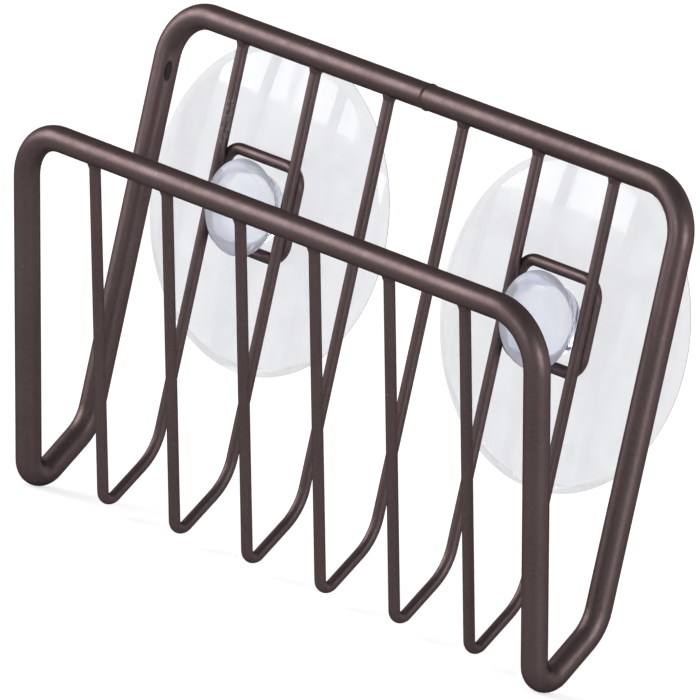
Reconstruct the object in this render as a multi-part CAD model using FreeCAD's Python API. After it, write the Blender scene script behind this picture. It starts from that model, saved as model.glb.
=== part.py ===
import FreeCAD, Part

import math
import os

# Wire sponge holder for a sink wall: a welded basket that hangs from two suction cups.
# X runs along the rails, +Y points at the wall and +Z is up.
# The origin is on the wall, half way between the axes of the two cups.

# Wires of the basket
FRAME_WIRE = 5.0
RIB_WIRE = 2.2
RING_WIRE = 2.3

# Layout across the holder
RIB_COUNT = 6
RIB_PITCH = 20.0
END_GAP = 19.0
RAIL_CORNER_RADIUS = 10.0

# Side profile of a rib, on its centre line
BACK_RAIL_ABOVE_CUPS = 31.95
BACK_HEIGHT = 82.2
FLOOR_DEPTH = 10.6
FLOOR_DROP = 11.5
FRONT_RAIL_DEPTH = 32.8
FRONT_RAIL_DROP = 25.1
RIB_HEEL_RADIUS = 11.0
RIB_TOE_RADIUS = 2.0

# The heavy legs reach a little further forward and down than the ribs
LEG_TOE_AHEAD = 1.3
LEG_TOE_BELOW = 2.2
LEG_HEEL_RADIUS = 9.5
LEG_TOE_RADIUS = 3.6

# Welds
WELD_HEIGHT = 1.1
WELD_WIDTH = 0.65
WELD_ROOT_SHARE = 0.5
WELD_TOE_SHARE = 0.9
RING_WELD_SINK = 0.3
BUTT_WELD_WIDTH = 1.6
BUTT_WELD_HEIGHT = 0.18

# Rings that hold the cups
RING_HEIGHT = 17.8
RING_CORNER_RADIUS = 3.6
RING_ABOVE_CUP = 0.9

# Suction cups
CUP_DIAMETER = 63.5
CUP_BODY_DEPTH = 2.4
CUP_HOLLOW_DEPTH = 0.9
CUP_SHOULDER_WIDTH = 5.0
RIM_LAND_WIDTH = 1.8
RIM_EDGE_HEIGHT = 0.4
RIM_HEIGHT = 1.0
RIM_BEVEL_WIDTH = 2.0
CUP_PLAY = 0.3
HEAD_DIAMETER = 18.8
HEAD_ROOT_DIAMETER = 14.0
HEAD_SHOULDER_HEIGHT = 2.4
HEAD_FACE_DIAMETER = 13.4
HEAD_DEPTH = 3.9
HEAD_CROWN_HEIGHT = 0.6

# Places worked out from the sizes above
FRAME_RADIUS = FRAME_WIRE / 2
RIB_RADIUS = RIB_WIRE / 2
RING_RADIUS = RING_WIRE / 2
RING_Y = -(CUP_BODY_DEPTH + CUP_PLAY + RING_RADIUS)
RIB_Y = RING_Y - RING_RADIUS - RIB_RADIUS + RING_WELD_SINK
FRONT_Y = RIB_Y - FRONT_RAIL_DEPTH
BACK_RAIL_Z = BACK_RAIL_ABOVE_CUPS
FRONT_RAIL_Z = BACK_RAIL_Z - FRONT_RAIL_DROP
HEEL_Z = BACK_RAIL_Z - BACK_HEIGHT
LEG_X = (RIB_COUNT - 1) * RIB_PITCH / 2 + END_GAP
CUP_X = (RIB_COUNT - 2) * RIB_PITCH / 2
NECK_RADIUS = (RING_HEIGHT - RING_WIRE) / 2 - RING_ABOVE_CUP - CUP_PLAY

X_AXIS = FreeCAD.Vector(1, 0, 0)
Y_AXIS = FreeCAD.Vector(0, 1, 0)


def vector(x, y, z):
    return FreeCAD.Vector(x, y, z)


def unit(start, end):
    """The direction from start to end."""
    direction = end.sub(start)
    return direction.normalize()


def corner_tangent(before, corner, after, radius):
    """How far from a corner its bend begins, the two directions there and the angle turned."""
    arriving = unit(before, corner)
    leaving = unit(corner, after)
    turn = arriving.getAngle(leaving)
    return radius * math.tan(turn / 2), arriving, leaving, turn


def round_bar(start, end, diameter):
    """A straight length of round wire."""
    run = end.sub(start)
    return Part.makeCylinder(diameter / 2, run.Length, start, run)


def round_bend(before, corner, after, radius, diameter):
    """A bend of round wire at a corner, with its centre line tangent to both runs."""
    reach, arriving, leaving, turn = corner_tangent(before, corner, after, radius)
    start = corner.sub(arriving * reach)
    axis = arriving.cross(leaving).normalize()
    middle = start.add(axis.cross(arriving) * radius)
    section = Part.Face(Part.Wire(Part.makeCircle(diameter / 2, start, arriving)))
    return section.revolve(middle, axis, math.degrees(turn))


def bent_wire(points, radii, diameter, closed=False):
    """Round wire along straight runs joined by bends, with one radius for each corner."""
    count = len(points)
    first = 0 if closed else 1
    corners = range(first, count - first)
    entry = {}
    leave = {}
    solids = []
    for i in corners:
        before, corner, after = points[i - 1], points[i], points[(i + 1) % count]
        reach, arriving, leaving, _ = corner_tangent(before, corner, after, radii[i - first])
        entry[i] = corner.sub(arriving * reach)
        leave[i] = corner.add(leaving * reach)
        solids.append(round_bend(before, corner, after, radii[i - first], diameter))
    for i in range(count if closed else count - 1):
        j = (i + 1) % count
        solids.append(round_bar(leave.get(i, points[i]), entry.get(j, points[j]), diameter))
    return solids[0].fuse(solids[1:]).removeSplitter()


def rib_profile(x):
    """Corner points of a rib, from the back rail down, forward and up to the front rail."""
    return [
        vector(x, RIB_Y, BACK_RAIL_Z),
        vector(x, RIB_Y, HEEL_Z),
        vector(x, RIB_Y - FLOOR_DEPTH, HEEL_Z - FLOOR_DROP),
        vector(x, FRONT_Y, FRONT_RAIL_Z),
    ]


def leg_profile(x):
    """Corner points of a leg pair, with its toe ahead of and below the toes of the ribs."""
    back_top, heel, toe, front_top = rib_profile(x)
    toe = toe.sub(vector(0, LEG_TOE_AHEAD, LEG_TOE_BELOW))
    return [back_top, heel, toe, front_top]


def make_frame():
    """The closed loop of heavy wire, with the bead of its butt weld on the back rail."""
    left = leg_profile(-LEG_X)
    right = leg_profile(LEG_X)
    leg_radii = [RAIL_CORNER_RADIUS, LEG_HEEL_RADIUS, LEG_TOE_RADIUS, RAIL_CORNER_RADIUS]
    loop = bent_wire(left + right[::-1], leg_radii + leg_radii[::-1], FRAME_WIRE, closed=True)
    bead_end = vector(-BUTT_WELD_WIDTH / 2, RIB_Y, BACK_RAIL_Z)
    bead_middle = vector(0, RIB_Y, BACK_RAIL_Z)
    crown = FRAME_RADIUS + BUTT_WELD_HEIGHT
    toe = FRAME_RADIUS * WELD_TOE_SHARE
    half_bead = BUTT_WELD_WIDTH / 2
    bead = Part.makeCone(toe, crown, half_bead, bead_end, X_AXIS)
    bead = bead.fuse(Part.makeCone(crown, toe, half_bead, bead_middle, X_AXIS))
    return loop.fuse(bead)


def weld_flare(rail, towards):
    """The flare of weld metal round the end of a rib, rooted inside the rail that it meets."""
    direction = unit(rail, towards)
    root = FRAME_RADIUS * WELD_ROOT_SHARE
    length = FRAME_RADIUS - root + WELD_HEIGHT
    base = rail.add(direction * root)
    return Part.makeCone(RIB_RADIUS + WELD_WIDTH, RIB_RADIUS * WELD_TOE_SHARE, length, base, direction)


def make_rib(x):
    """One rib, with both ends shaped to the rails that they are welded to."""
    points = rib_profile(x)
    rib = bent_wire(points, [RIB_HEEL_RADIUS, RIB_TOE_RADIUS], RIB_WIRE)
    half_pitch = X_AXIS * (RIB_PITCH / 2)
    for rail, towards in ((points[0], points[1]), (points[-1], points[-2])):
        rail_length = round_bar(rail.sub(half_pitch), rail.add(half_pitch), FRAME_WIRE)
        rib = rib.fuse(weld_flare(rail, towards)).cut(rail_length)
    return rib


def make_ring(x, ribs):
    """The rounded-square loop behind two ribs, with its sides let into both welds."""
    half_width = RIB_PITCH / 2
    top = RING_ABOVE_CUP + RING_HEIGHT / 2
    bottom = RING_ABOVE_CUP - RING_HEIGHT / 2
    corners = [
        vector(x - half_width, RING_Y, top),
        vector(x + half_width, RING_Y, top),
        vector(x + half_width, RING_Y, bottom),
        vector(x - half_width, RING_Y, bottom),
    ]
    ring = bent_wire(corners, [RING_CORNER_RADIUS] * len(corners), RING_WIRE, closed=True)
    return ring.cut(ribs)


def make_cup(x):
    """A suction cup turned about its own axis: disc with a bevelled rim, neck and mushroom head."""

    def point(radius, ahead):
        return vector(x + radius, -ahead, 0)

    def line(start, end):
        return Part.LineSegment(start, end).toShape()

    def arc(start, middle, end):
        return Part.Arc(start, middle, end).toShape()

    rim = CUP_DIAMETER / 2
    land = rim - RIM_LAND_WIDTH
    bevel = rim - RIM_BEVEL_WIDTH
    shoulder = NECK_RADIUS + CUP_SHOULDER_WIDTH
    head_root = CUP_BODY_DEPTH + RING_WIRE + 2 * CUP_PLAY
    head_wide = head_root + HEAD_SHOULDER_HEIGHT
    head_front = head_root + HEAD_DEPTH
    root_radius = HEAD_ROOT_DIAMETER / 2
    head_radius = HEAD_DIAMETER / 2
    face_radius = HEAD_FACE_DIAMETER / 2
    face_front = head_front - HEAD_CROWN_HEIGHT

    # The hollow under the disc is part of a sphere through the inner edge of the land
    hollow_radius = (land ** 2 + CUP_HOLLOW_DEPTH ** 2) / (2 * CUP_HOLLOW_DEPTH)
    half_land = land / 2
    hollow_fall = hollow_radius - math.sqrt(hollow_radius ** 2 - half_land ** 2)

    # The crown of the head is part of a sphere too, through the edge of its face
    crown_radius = (face_radius ** 2 + HEAD_CROWN_HEIGHT ** 2) / (2 * HEAD_CROWN_HEIGHT)
    half_face = face_radius / 2
    crown_fall = crown_radius - math.sqrt(crown_radius ** 2 - half_face ** 2)

    # The bevelled shoulder of the head bulges half way between its widest line and its face
    bulge = (head_radius - face_radius) / 2
    bulge_radius = face_radius + bulge * math.sqrt(2)
    bulge_front = head_wide + (face_front - head_wide) * math.sqrt(2) / 2

    outline = [
        line(point(0, head_front), point(0, CUP_HOLLOW_DEPTH)),
        arc(point(0, CUP_HOLLOW_DEPTH), point(half_land, CUP_HOLLOW_DEPTH - hollow_fall), point(land, 0)),
        line(point(land, 0), point(rim, 0)),
        line(point(rim, 0), point(rim, RIM_EDGE_HEIGHT)),
        line(point(rim, RIM_EDGE_HEIGHT), point(bevel, RIM_HEIGHT)),
        line(point(bevel, RIM_HEIGHT), point(shoulder, CUP_BODY_DEPTH)),
        line(point(shoulder, CUP_BODY_DEPTH), point(NECK_RADIUS, CUP_BODY_DEPTH)),
        line(point(NECK_RADIUS, CUP_BODY_DEPTH), point(NECK_RADIUS, head_root)),
        line(point(NECK_RADIUS, head_root), point(root_radius, head_root)),
        line(point(root_radius, head_root), point(head_radius, head_wide)),
        arc(point(head_radius, head_wide), point(bulge_radius, bulge_front), point(face_radius, face_front)),
        arc(point(face_radius, face_front), point(half_face, head_front - crown_fall), point(0, head_front)),
    ]
    face = Part.Face(Part.Wire(outline))
    return face.revolve(vector(x, 0, 0), Y_AXIS, 360)


def build():
    """Every piece of the holder by its node name."""
    pieces = {"frame_wire": make_frame()}
    for i in range(RIB_COUNT):
        x = (i - (RIB_COUNT - 1) / 2) * RIB_PITCH
        pieces[f"rib_{i + 1}"] = make_rib(x)
    ribs = [pieces[f"rib_{i + 1}"] for i in range(RIB_COUNT)]
    for side, x in (("left", -CUP_X), ("right", CUP_X)):
        pieces[f"cup_ring_{side}"] = make_ring(x, ribs)
        pieces[f"suction_cup_{side}"] = make_cup(x)
    return pieces


os.makedirs("parts", exist_ok=True)
for name, shape in build().items():
    solid = shape.Solids[0]
    print(name, len(shape.Solids), solid.isValid(), round(solid.Volume, 2), solid.BoundBox)
    solid.exportStep(f"parts/{name}.step")
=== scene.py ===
import math

import bpy
from mathutils import Matrix, Vector


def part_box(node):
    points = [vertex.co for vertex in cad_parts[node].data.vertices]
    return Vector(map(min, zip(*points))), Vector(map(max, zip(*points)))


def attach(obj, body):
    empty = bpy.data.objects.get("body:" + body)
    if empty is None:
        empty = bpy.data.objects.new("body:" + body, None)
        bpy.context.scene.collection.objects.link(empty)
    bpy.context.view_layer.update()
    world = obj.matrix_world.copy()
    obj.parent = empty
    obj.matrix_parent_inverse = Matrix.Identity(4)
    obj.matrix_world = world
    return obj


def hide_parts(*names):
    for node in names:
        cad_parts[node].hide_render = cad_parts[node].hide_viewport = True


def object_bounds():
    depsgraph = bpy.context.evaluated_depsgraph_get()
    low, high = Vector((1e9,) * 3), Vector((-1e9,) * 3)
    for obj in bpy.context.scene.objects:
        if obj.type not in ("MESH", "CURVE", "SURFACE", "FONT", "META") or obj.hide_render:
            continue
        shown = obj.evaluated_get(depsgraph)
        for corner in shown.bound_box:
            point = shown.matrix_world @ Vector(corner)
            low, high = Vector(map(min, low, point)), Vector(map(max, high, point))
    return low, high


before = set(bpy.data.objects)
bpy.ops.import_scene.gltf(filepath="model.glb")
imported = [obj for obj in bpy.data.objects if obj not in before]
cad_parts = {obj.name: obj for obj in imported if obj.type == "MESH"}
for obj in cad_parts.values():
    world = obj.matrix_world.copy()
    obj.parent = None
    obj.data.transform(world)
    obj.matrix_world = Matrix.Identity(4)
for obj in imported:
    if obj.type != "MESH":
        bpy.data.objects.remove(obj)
cad_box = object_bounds()

MM = 0.001
WHITE = (1, 1, 1, 1)

# Camera, at the photograph's viewing angle with a long lens
CAMERA_AZIMUTH = math.radians(43.50)
CAMERA_ELEVATION = math.radians(9.56)
CAMERA_ROLL = math.radians(12.29)
CAMERA_TARGET = Vector((0, -12.25, -16.85)) * MM
CAMERA_DISTANCE = 2363.6 * MM
CAMERA_LENS = 654.7
CAMERA_SENSOR = 36.0
CAMERA_REACH = 100.0

# Suction cups, as distances from their axis and ahead of the wall, in millimetres
cup_low, cup_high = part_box("suction_cup_right")
CUP_AXIS_X = (cup_low.x + cup_high.x) / 2 / MM
CUP_RADIUS = (cup_high.x - cup_low.x) / 2 / MM
CUP_BODY_DEPTH = 2.4
CUP_HOLLOW_DEPTH = 0.9
RIM_LAND_WIDTH = 1.8
RIM_EDGE_HEIGHT = 0.12
RIM_HEIGHT = 1.0
RIM_BEVEL_WIDTH = 2.0
NECK_RADIUS = 6.55
HEAD_ROOT_RADIUS = 7.0
HEAD_ROOT_AHEAD = 5.3
HEAD_RADIUS = 9.4
HEAD_WIDE_AHEAD = 7.7
HEAD_FACE_RADIUS = 6.7
HEAD_FACE_AHEAD = 8.6
HEAD_FRONT_AHEAD = -cup_low.y / MM
HEAD_CROWN_HEIGHT = 0.6
HEAD_SHOULDER_BULGE = 0.35
GATE_RADIUS = 0.7
GATE_FOOT_RADIUS = 1.4
GATE_HEIGHT = 0.2

# Roundings of the cups' edges, in millimetres
GATE_ROUNDING = 0.1
GATE_FOOT_ROUNDING = 0.2
FACE_ROUNDING = 0.5
SHOULDER_ROUNDING = 0.35
ROOT_ROUNDING = 0.2
NECK_FOOT_ROUNDING = 0.25
BEVEL_ROUNDING = 0.4
EDGE_ROUNDING = 0.03
LAND_ROUNDING = 0.3

# How far a crown, dome or hollow stands off its chord, as a share of its height
BOW_SHARE = 0.25

# Steps round a cup and along the curved stretches of its outline
CUP_STEPS = 160
CORNER_STEPS = 6
HEAD_STEPS = 6
DISC_STEPS = 24
HOLLOW_STEPS = 16

# Bronze coat: colours, gloss, and the sizes of its patterns in millimetres
BRONZE_DARK = (0.118, 0.083, 0.084)
BRONZE_LIGHT = (0.133, 0.095, 0.097)
BRONZE_GRAIN = (0.16, 0.118, 0.12)
BRONZE_SPECK = (0.3, 0.26, 0.25)
BRONZE_EDGE = (0.22, 0.175, 0.17, 1)
BRONZE_METALLIC = 0.85
BRONZE_ROUGHNESS = (0.38, 0.48)
WAVE_SIZE = 14.0
PEEL_SIZE = 2.2
SPECK_SIZE = 1.3
FLAKE_SIZE = 0.7
GRAIN_SIZE = 0.6

# How much finer detail a pattern has
PLAIN_DETAIL = 1.0
USUAL_DETAIL = 3.0
GRAIN_DETAIL = 4.0

# Where each pattern's noise starts and ends to show
CLOUD_RANGE = (0.35, 0.65)
PEEL_RANGE = (0.3, 0.7)
SPECK_RANGE = (0.8, 0.84)
FLAKE_RANGE = (0.45, 0.6)
GRAIN_RANGE = (0.35, 0.7)
GRAIN_SHARE = 0.5

# Bumps in the coat, as heights in millimetres and strengths
WAVE_BUMP = (0.15, 0.5)
PEEL_BUMP = (0.03, 0.6)
GRAIN_BUMP = (0.012, 0.5)
DENT_BUMP = (0.3, 0.8)

# Marks on the coat, as colours, and middles and reaches in millimetres
RACK_MARK_COLOUR = (0.035, 0.027, 0.026)
RACK_MARK_MIDDLE = (-66.8, -7.0, 19.6)
RACK_MARK_REACH = (0.6, 0.8, 2.2)
WORN_PATCH_COLOUR = (0.17, 0.165, 0.165)
WORN_PATCH_MIDDLE = (-49.6, -6.6, 14.5)
WORN_PATCH_REACH = (1.6, 1.4, 6.0)
SEAM_COLOUR = (0.09, 0.06, 0.055)
SEAM_MIDDLE = (0.0, -5.8, 31.95)
SEAM_REACH = (1.5, 3.2, 3.2)
MARK_FADE_RANGE = (0.7, 1.0)

# Clear PVC: a clear disc and a cloudy head, each with two colours that its haze blends
DISC_COLOURS = ((0.75, 0.755, 0.78), (0.79, 0.795, 0.815))
DISC_CLEARNESS = 0.95
DISC_CLOUD = 0.0
DISC_IOR = 1.33
DISC_ROUGHNESS = (0.03, 0.07)
HEAD_COLOURS = ((0.75, 0.78, 0.95), (0.83, 0.855, 0.98))
HEAD_CLEARNESS = 0.55
HEAD_CLOUD = 0.9
HEAD_IOR = 1.18
HEAD_ROUGHNESS = (0.06, 0.12)
RIM_COLOUR = (0.81, 0.815, 0.83)
RIM_FADE_WIDTH = 0.4
CLOUD_DEPTH = 8.0
PVC_WAVE_SIZE = 16.0
PVC_WAVE_BUMP = (0.5, 0.12)
HAZE_SIZE = 5.0
HAZE_RANGE = (0.3, 0.7)

# Studio: the white backdrop is behind and below the object, seen from the camera
BACKDROP_DIRECTION = (-0.2, 0.84, -0.5)
BACKDROP_GLOW = 1.0
ROOM_GLOW = 0.34
ROOM_RANGE = (-0.2, 0.6)
CEILING_GLOW = 0.2
CEILING_RANGE = (0.45, 0.9)
FLOOR_REACH = 6.0
FLOOR_COLOUR = (0.88, 0.88, 0.88, 1)
FLOOR_ROUGHNESS = 0.9
FLOOR_GLOW = 0.6
FLOOR_BEHIND_RANGE = (0.1, 0.8)

# Lights stand upright on the floor: panes across and up from the foot of each one, in metres
LIGHT_DISTANCE = 2.0
KEY_AZIMUTH = math.radians(-43.5)
KEY_COLUMNS = ((-1.1, -0.017), (0.017, 0.3))
KEY_ROWS = ((0.0, 0.14), (0.175, 1.3))
KEY_BRIGHTNESS = 6.0
FRONT_AZIMUTH = math.radians(0)
FRONT_WIDTH = 0.5
FRONT_HEIGHT = 0.5
FRONT_BRIGHTNESS = 7.4
SIDE_AZIMUTH = math.radians(84)
SIDE_WIDTH = 1.0
SIDE_HEIGHT = 0.7
SIDE_BRIGHTNESS = 7.0


# Node helpers

def new_material(name):
    """An empty node material with its output and one Principled shader."""
    material = bpy.data.materials.new(name)
    material.use_nodes = True
    tree = material.node_tree
    tree.nodes.clear()
    output = tree.nodes.new("ShaderNodeOutputMaterial")
    shader = tree.nodes.new("ShaderNodeBsdfPrincipled")
    tree.links.new(shader.outputs["BSDF"], output.inputs["Surface"])
    return material, tree, shader


def object_place(tree):
    """The place on the object, in metres."""
    return tree.nodes.new("ShaderNodeTexCoord").outputs["Object"]


def noise(tree, place, size, detail=USUAL_DETAIL):
    """Noise whose features are about so many millimetres across."""
    node = tree.nodes.new("ShaderNodeTexNoise")
    node.inputs["Scale"].default_value = 1 / (size * MM)
    node.inputs["Detail"].default_value = detail
    tree.links.new(place, node.inputs["Vector"])
    return node.outputs["Fac"]


def remap(tree, value, span, to_span=(0.0, 1.0)):
    """A value moved from one range to another, and held there."""
    node = tree.nodes.new("ShaderNodeMapRange")
    node.inputs["From Min"].default_value, node.inputs["From Max"].default_value = span
    node.inputs["To Min"].default_value, node.inputs["To Max"].default_value = to_span
    tree.links.new(value, node.inputs["Value"])
    return node.outputs["Result"]


def combine(tree, operation, first, *others):
    """Values multiplied, or the highest of them, one after the other."""
    total = first
    for value in others:
        node = tree.nodes.new("ShaderNodeMath")
        node.operation = operation
        tree.links.new(total, node.inputs[0])
        tree.links.new(value, node.inputs[1])
        total = node.outputs[0]
    return total


def mix_colour(tree, factor, first, second):
    """A blend of two colours, each a fixed colour or a socket."""
    node = tree.nodes.new("ShaderNodeMix")
    node.data_type = "RGBA"
    tree.links.new(factor, node.inputs["Factor"])
    for name, colour in (("A", first), ("B", second)):
        socket = next(s for s in node.inputs if s.name == name and s.type == "RGBA")
        if isinstance(colour, tuple):
            socket.default_value = (*colour, 1)
        else:
            tree.links.new(colour, socket)
    return next(s for s in node.outputs if s.type == "RGBA")


def bump(tree, height, size, under=None):
    """A bump of a size in millimetres and a strength, on top of another one if there is one."""
    node = tree.nodes.new("ShaderNodeBump")
    node.inputs["Distance"].default_value = size[0] * MM
    node.inputs["Strength"].default_value = size[1]
    tree.links.new(height, node.inputs["Height"])
    if under:
        tree.links.new(under, node.inputs["Normal"])
    return node.outputs["Normal"]


def vector_length(tree, vector):
    """How long a vector is."""
    node = tree.nodes.new("ShaderNodeVectorMath")
    node.operation = "LENGTH"
    tree.links.new(vector, node.inputs[0])
    return node.outputs["Value"]


# Materials

def spot(tree, place, middle, reach):
    """A soft round mark on the object: 1 in its middle and 0 beyond its reach, both in millimetres."""
    node = tree.nodes.new("ShaderNodeMapping")
    node.vector_type = "TEXTURE"
    node.inputs["Location"].default_value = [v * MM for v in middle]
    node.inputs["Scale"].default_value = [v * MM for v in reach]
    tree.links.new(place, node.inputs["Vector"])
    return remap(tree, vector_length(tree, node.outputs["Vector"]), MARK_FADE_RANGE, (1.0, 0.0))


def bronze_coat():
    """Dark oil-rubbed bronze coat: satin, a little uneven, with fine grain, specks and a few marks."""
    material, tree, shader = new_material("bronze_coat")
    place = object_place(tree)
    wave = noise(tree, place, WAVE_SIZE)
    grain = noise(tree, place, GRAIN_SIZE, GRAIN_DETAIL)
    peel = noise(tree, place, PEEL_SIZE)
    speck = remap(tree, noise(tree, place, SPECK_SIZE, PLAIN_DETAIL), SPECK_RANGE)
    flake = remap(tree, noise(tree, place, FLAKE_SIZE), FLAKE_RANGE)
    colour = mix_colour(tree, remap(tree, wave, CLOUD_RANGE), BRONZE_DARK, BRONZE_LIGHT)
    colour = mix_colour(tree, remap(tree, grain, GRAIN_RANGE, (0.0, GRAIN_SHARE)), colour, BRONZE_GRAIN)
    colour = mix_colour(tree, speck, colour, BRONZE_SPECK)
    worn = spot(tree, place, WORN_PATCH_MIDDLE, WORN_PATCH_REACH)
    colour = mix_colour(tree, combine(tree, "MULTIPLY", worn, flake), colour, WORN_PATCH_COLOUR)
    seam = spot(tree, place, SEAM_MIDDLE, SEAM_REACH)
    colour = mix_colour(tree, combine(tree, "MULTIPLY", seam, flake), colour, SEAM_COLOUR)
    rack = spot(tree, place, RACK_MARK_MIDDLE, RACK_MARK_REACH)
    colour = mix_colour(tree, rack, colour, RACK_MARK_COLOUR)
    tree.links.new(colour, shader.inputs["Base Color"])
    tree.links.new(remap(tree, peel, PEEL_RANGE, BRONZE_ROUGHNESS), shader.inputs["Roughness"])
    drawn = bump(tree, wave, WAVE_BUMP)
    coarse = bump(tree, peel, PEEL_BUMP, drawn)
    fine = bump(tree, grain, GRAIN_BUMP, coarse)
    dented = bump(tree, remap(tree, rack, (0, 1), (1, 0)), DENT_BUMP, fine)
    tree.links.new(dented, shader.inputs["Normal"])
    shader.inputs["Metallic"].default_value = BRONZE_METALLIC
    shader.inputs["Specular Tint"].default_value = BRONZE_EDGE
    return material


def rim_share(tree, place):
    """0 in the middle of a cup, 1 at its thin rim. The two cups mirror each other."""
    mirrored = tree.nodes.new("ShaderNodeVectorMath")
    mirrored.operation = "ABSOLUTE"
    tree.links.new(place, mirrored.inputs[0])
    centred = tree.nodes.new("ShaderNodeVectorMath")
    centred.operation = "SUBTRACT"
    centred.inputs[1].default_value = (CUP_AXIS_X * MM, 0, 0)
    tree.links.new(mirrored.outputs["Vector"], centred.inputs[0])
    inner = (CUP_RADIUS - RIM_BEVEL_WIDTH - RIM_FADE_WIDTH) * MM
    outer = (CUP_RADIUS - RIM_BEVEL_WIDTH / 2) * MM
    return remap(tree, vector_length(tree, centred.outputs["Vector"]), (inner, outer))


def clear_pvc(name, colours, clearness, cloud, ior, roughness):
    """Soft PVC with a cool tint, a glossy skin and slow waves in its surface."""
    material, tree, shader = new_material(name)
    place = object_place(tree)
    wave = noise(tree, place, PVC_WAVE_SIZE, PLAIN_DETAIL)
    haze = noise(tree, place, HAZE_SIZE)
    colour = mix_colour(tree, remap(tree, haze, HAZE_RANGE), *colours)
    colour = mix_colour(tree, rim_share(tree, place), colour, RIM_COLOUR)
    tree.links.new(colour, shader.inputs["Base Color"])
    tree.links.new(remap(tree, haze, HAZE_RANGE, roughness), shader.inputs["Roughness"])
    tree.links.new(bump(tree, wave, PVC_WAVE_BUMP), shader.inputs["Normal"])
    shader.inputs["Transmission Weight"].default_value = clearness
    shader.inputs["Subsurface Weight"].default_value = cloud
    shader.inputs["Subsurface Radius"].default_value = (1, 1, 1)
    shader.inputs["Subsurface Scale"].default_value = CLOUD_DEPTH * MM
    shader.inputs["IOR"].default_value = ior
    return material


# Suction cups

def rounded_outline(corners):
    """Points along an outline of (radius, ahead, rounding) corners, with each corner rounded."""
    points = []
    for i, (radius, ahead, rounding) in enumerate(corners):
        corner = Vector((radius, ahead))
        if not rounding:
            points.append(corner)
            continue
        back = (Vector(corners[i - 1][:2]) - corner).normalized()
        on = (Vector(corners[i + 1][:2]) - corner).normalized()
        half = back.angle(on) / 2
        run = rounding / math.tan(half)
        centre = corner + (back + on).normalized() * (rounding / math.sin(half))
        arm = corner + back * run - centre
        turn = arm.angle_signed(corner + on * run - centre)
        for k in range(CORNER_STEPS + 1):
            points.append(centre + Matrix.Rotation(-turn * k / CORNER_STEPS, 2) @ arm)
    return points


def bow_points(start, end, bulge, steps):
    """Points between start and end, on a bow that stands off its chord by bulge, to the left."""
    start, end = Vector(start), Vector(end)
    chord = end - start
    side = Vector((-chord.y, chord.x)).normalized()
    points = []
    for k in range(1, steps):
        t = k / steps
        points.append((*(start + chord * t + side * (bulge * 4 * t * (1 - t))), 0))
    return points


def cup_outline():
    """Half section of a cup from the middle of its head, round the rim to the middle of its hollow."""
    gate_ahead = HEAD_FRONT_AHEAD - HEAD_CROWN_HEIGHT * (GATE_FOOT_RADIUS / HEAD_FACE_RADIUS) ** 2
    gate_foot = (GATE_FOOT_RADIUS, gate_ahead)
    face_edge = (HEAD_FACE_RADIUS, HEAD_FACE_AHEAD)
    head_wide = (HEAD_RADIUS, HEAD_WIDE_AHEAD)
    neck_foot = (NECK_RADIUS, CUP_BODY_DEPTH)
    bevel = (CUP_RADIUS - RIM_BEVEL_WIDTH, RIM_HEIGHT)
    land = (CUP_RADIUS - RIM_LAND_WIDTH, 0)
    hollow = (0, CUP_HOLLOW_DEPTH)
    dome_height = CUP_BODY_DEPTH - RIM_HEIGHT
    return rounded_outline([
        (0, HEAD_FRONT_AHEAD, 0),
        (GATE_RADIUS, HEAD_FRONT_AHEAD, GATE_ROUNDING),
        (GATE_RADIUS, gate_ahead - GATE_HEIGHT, GATE_ROUNDING),
        (*gate_foot, GATE_FOOT_ROUNDING),
        *bow_points(gate_foot, face_edge, HEAD_CROWN_HEIGHT * BOW_SHARE, HEAD_STEPS),
        (*face_edge, FACE_ROUNDING),
        *bow_points(face_edge, head_wide, HEAD_SHOULDER_BULGE, HEAD_STEPS),
        (*head_wide, SHOULDER_ROUNDING),
        (HEAD_ROOT_RADIUS, HEAD_ROOT_AHEAD, ROOT_ROUNDING),
        (NECK_RADIUS, HEAD_ROOT_AHEAD, ROOT_ROUNDING),
        (*neck_foot, NECK_FOOT_ROUNDING),
        *bow_points(neck_foot, bevel, dome_height * BOW_SHARE, DISC_STEPS),
        (*bevel, BEVEL_ROUNDING),
        (CUP_RADIUS, RIM_EDGE_HEIGHT, EDGE_ROUNDING),
        (CUP_RADIUS, 0, EDGE_ROUNDING),
        (*land, LAND_ROUNDING),
        *bow_points(land, hollow, -CUP_HOLLOW_DEPTH * BOW_SHARE, HOLLOW_STEPS),
        (*hollow, 0),
    ])


def make_cup(name, node, clear, cloudy):
    """A cup turned about its own axis, where its CAD node is, clear in its disc and cloudy in its head."""
    low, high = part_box(node)
    axis_x = (low.x + high.x) / 2
    axis_z = (low.z + high.z) / 2
    outline = cup_outline()
    ring = outline[1:-1]
    vertices = []
    for k in range(CUP_STEPS):
        turn = 2 * math.pi * k / CUP_STEPS
        across, up = math.cos(turn), math.sin(turn)
        for radius, ahead in ring:
            vertices.append((axis_x + radius * across * MM, -ahead * MM, axis_z + radius * up * MM))
    front = len(vertices)
    back = front + 1
    vertices.append((axis_x, -outline[0].y * MM, axis_z))
    vertices.append((axis_x, -outline[-1].y * MM, axis_z))
    faces = []
    count = len(ring)
    for k in range(CUP_STEPS):
        here = k * count
        there = (k + 1) % CUP_STEPS * count
        faces.append((front, here, there))
        faces.append((back, there + count - 1, here + count - 1))
        for j in range(count - 1):
            faces.append((here + j, here + j + 1, there + j + 1, there + j))
    mesh = bpy.data.meshes.new(name)
    mesh.from_pydata(vertices, [], faces)
    mesh.polygons.foreach_set("use_smooth", [True] * len(mesh.polygons))
    mesh.materials.append(clear)
    mesh.materials.append(cloudy)
    for face in mesh.polygons:
        face.material_index = int(-face.center.y > HEAD_ROOT_AHEAD * MM)
    mesh.update()
    cup = bpy.data.objects.new(name, mesh)
    bpy.context.scene.collection.objects.link(cup)
    return cup


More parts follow.
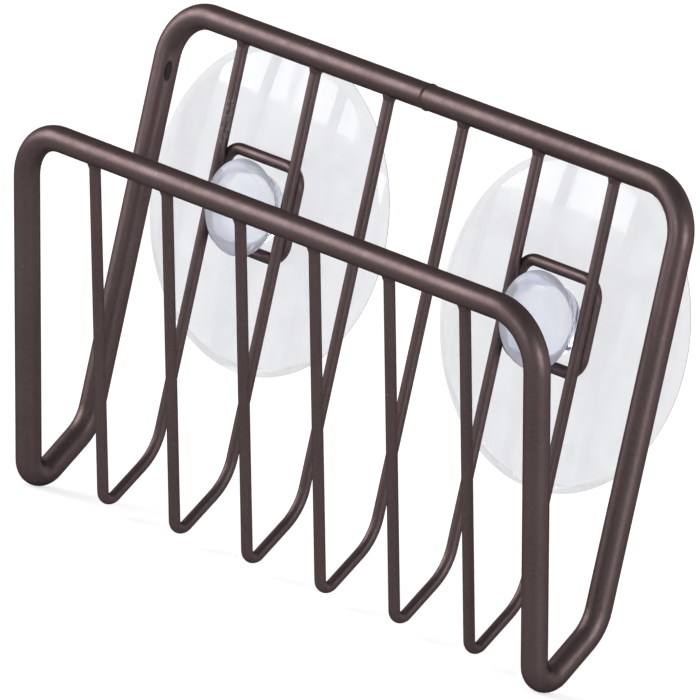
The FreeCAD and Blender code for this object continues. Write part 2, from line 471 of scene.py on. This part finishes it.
def dress_part():
    """The bronze coat on every wire, and the two cups in place of their plain solids."""
    bronze = bronze_coat()
    clear = clear_pvc("clear_pvc_disc", DISC_COLOURS, DISC_CLEARNESS, DISC_CLOUD, DISC_IOR, DISC_ROUGHNESS)
    cloudy = clear_pvc("clear_pvc_head", HEAD_COLOURS, HEAD_CLEARNESS, HEAD_CLOUD, HEAD_IOR, HEAD_ROUGHNESS)
    for node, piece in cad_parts.items():
        if not node.startswith("suction_cup"):
            piece.data.materials.clear()
            piece.data.materials.append(bronze)
    for side in ("left", "right"):
        cup = make_cup(f"cup_{side}", f"suction_cup_{side}", clear, cloudy)
        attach(cup, f"{side}_cup")
        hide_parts(f"suction_cup_{side}")


# Studio

def direction_of(azimuth, elevation):
    """The direction from the object to a place round it, with azimuth 0 in front and 90 to the right."""
    level = math.cos(elevation)
    return Vector((math.sin(azimuth) * level, -math.cos(azimuth) * level, math.sin(elevation)))


def make_pane(name, azimuth, across, up, brightness):
    """An upright soft light that faces the object."""
    towards = direction_of(azimuth, 0)
    turn = (-towards).to_track_quat("-Z", "Y").to_matrix().to_4x4()
    foot = towards * LIGHT_DISTANCE + Vector((0, 0, cad_box[0].z))
    middle = Vector((sum(across) / 2, sum(up) / 2, 0))
    light = bpy.data.lights.new(name, "AREA")
    light.shape = "RECTANGLE"
    light.size, light.size_y = across[1] - across[0], up[1] - up[0]
    light.energy = brightness * math.pi * light.size * light.size_y
    pane = bpy.data.objects.new(name, light)
    pane.matrix_world = Matrix.Translation(foot) @ turn @ Matrix.Translation(middle)
    pane.visible_camera = False
    bpy.context.scene.collection.objects.link(pane)


def make_lights():
    """A window of four panes at the front left, and softer lights in front and at the right."""
    for across in KEY_COLUMNS:
        for up in KEY_ROWS:
            make_pane("key_pane", KEY_AZIMUTH, across, up, KEY_BRIGHTNESS)
    front = (-FRONT_WIDTH / 2, FRONT_WIDTH / 2)
    make_pane("front_light", FRONT_AZIMUTH, front, (0, FRONT_HEIGHT), FRONT_BRIGHTNESS)
    side = (-SIDE_WIDTH / 2, SIDE_WIDTH / 2)
    make_pane("side_light", SIDE_AZIMUTH, side, (0, SIDE_HEIGHT), SIDE_BRIGHTNESS)


def towards_backdrop(tree, place):
    """How far a place or direction lies towards the backdrop."""
    node = tree.nodes.new("ShaderNodeVectorMath")
    node.operation = "DOT_PRODUCT"
    node.inputs[1].default_value = BACKDROP_DIRECTION
    tree.links.new(place, node.inputs[0])
    return node.outputs["Value"]


def make_floor():
    """A wide pale floor that runs up to the white backdrop and keeps the shadow of the object."""
    reach = FLOOR_REACH
    height = cad_box[0].z
    square = ((-reach, -reach), (reach, -reach), (reach, reach), (-reach, reach))
    mesh = bpy.data.meshes.new("floor")
    mesh.from_pydata([(x, y, height) for x, y in square], [], [(0, 1, 2, 3)])
    floor = bpy.data.objects.new("floor", mesh)
    bpy.context.scene.collection.objects.link(floor)
    material, tree, shader = new_material("floor_white")
    shader.inputs["Base Color"].default_value = FLOOR_COLOUR
    shader.inputs["Roughness"].default_value = FLOOR_ROUGHNESS
    shader.inputs["Specular IOR Level"].default_value = 0.0
    shader.inputs["Emission Color"].default_value = WHITE
    path = tree.nodes.new("ShaderNodeLightPath").outputs
    behind = remap(tree, towards_backdrop(tree, object_place(tree)), FLOOR_BEHIND_RANGE)
    glossy = combine(tree, "MULTIPLY", path["Is Glossy Ray"], behind)
    seen = combine(tree, "MAXIMUM", path["Is Camera Ray"], path["Is Transmission Ray"], glossy)
    tree.links.new(remap(tree, seen, (0, 1), (0, FLOOR_GLOW)), shader.inputs["Emission Strength"])
    mesh.materials.append(material)


def make_world():
    """White backdrop, full white where the camera sees it, and a dimmer room on the camera's side."""
    world = bpy.data.worlds.new("studio")
    world.use_nodes = True
    tree = world.node_tree
    background = tree.nodes["Background"]
    background.inputs["Color"].default_value = WHITE
    path = tree.nodes.new("ShaderNodeLightPath").outputs
    direction = tree.nodes.new("ShaderNodeTexCoord").outputs["Generated"]
    room = remap(tree, towards_backdrop(tree, direction), ROOM_RANGE, (ROOM_GLOW, BACKDROP_GLOW))
    split = tree.nodes.new("ShaderNodeSeparateXYZ")
    tree.links.new(direction, split.inputs["Vector"])
    dimming = remap(tree, split.outputs["Z"], CEILING_RANGE, (1.0, CEILING_GLOW / ROOM_GLOW))
    room = combine(tree, "MULTIPLY", room, dimming)
    strength = combine(tree, "MAXIMUM", room, path["Is Camera Ray"], path["Is Transmission Ray"])
    tree.links.new(strength, background.inputs["Strength"])
    bpy.context.scene.world = world


def make_camera():
    """The photograph's camera."""
    back = direction_of(CAMERA_AZIMUTH, CAMERA_ELEVATION)
    data = bpy.data.cameras.new("camera")
    data.lens = CAMERA_LENS
    data.sensor_width = CAMERA_SENSOR
    data.clip_end = CAMERA_REACH
    camera = bpy.data.objects.new("camera", data)
    turn = (-back).to_track_quat("-Z", "Y").to_matrix() @ Matrix.Rotation(CAMERA_ROLL, 3, "Z")
    camera.matrix_world = Matrix.Translation(CAMERA_TARGET + back * CAMERA_DISTANCE) @ turn.to_4x4()
    bpy.context.scene.collection.objects.link(camera)
    bpy.context.scene.camera = camera


dress_part()
make_floor()
make_world()
make_camera()
make_lights()
bpy.context.scene.view_settings.view_transform = "Standard"
